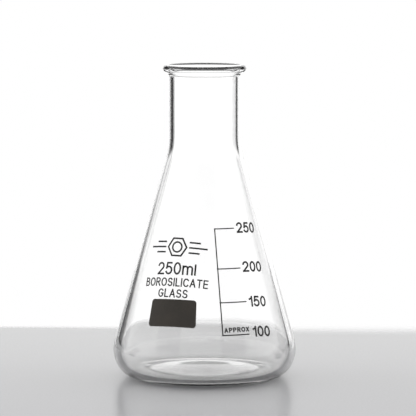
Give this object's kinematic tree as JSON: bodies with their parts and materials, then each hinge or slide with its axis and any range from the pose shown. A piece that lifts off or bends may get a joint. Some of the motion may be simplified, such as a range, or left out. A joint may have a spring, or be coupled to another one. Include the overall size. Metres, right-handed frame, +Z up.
{
  "type": "conical laboratory flask",
  "caption": "Narrow-neck conical glass flask with a beaded rim, a flat ring base, printed volume graduations and a pencil marking spot, open at the top.",
  "frame": {"origin": "centre of the base, on the surface that the flask stands on", "axes": "+Z up along the flask's axis, -Y towards the printed front, +X to the right of the print"},
  "size_m": [0.085, 0.085, 0.145],
  "materials": {
    "clear_glass": "clear polished borosilicate",
    "enamel_ink": "fired enamel, dark grey, satin",
    "enamel_spot": "fired enamel, brown-grey, matte for pencil"
  },
  "bodies": {
    "root": {"flask_body": "clear_glass", "marking_spot": "enamel_spot", "graduation_scale": "enamel_ink", "numeral_250": "enamel_ink", "numeral_200": "enamel_ink", "numeral_150": "enamel_ink", "numeral_100": "enamel_ink", "approx_label": "enamel_ink", "capacity_label": "enamel_ink", "material_label_borosilicate": "enamel_ink", "material_label_glass": "enamel_ink", "maker_mark": "enamel_ink"}
  },
  "joints": []
}
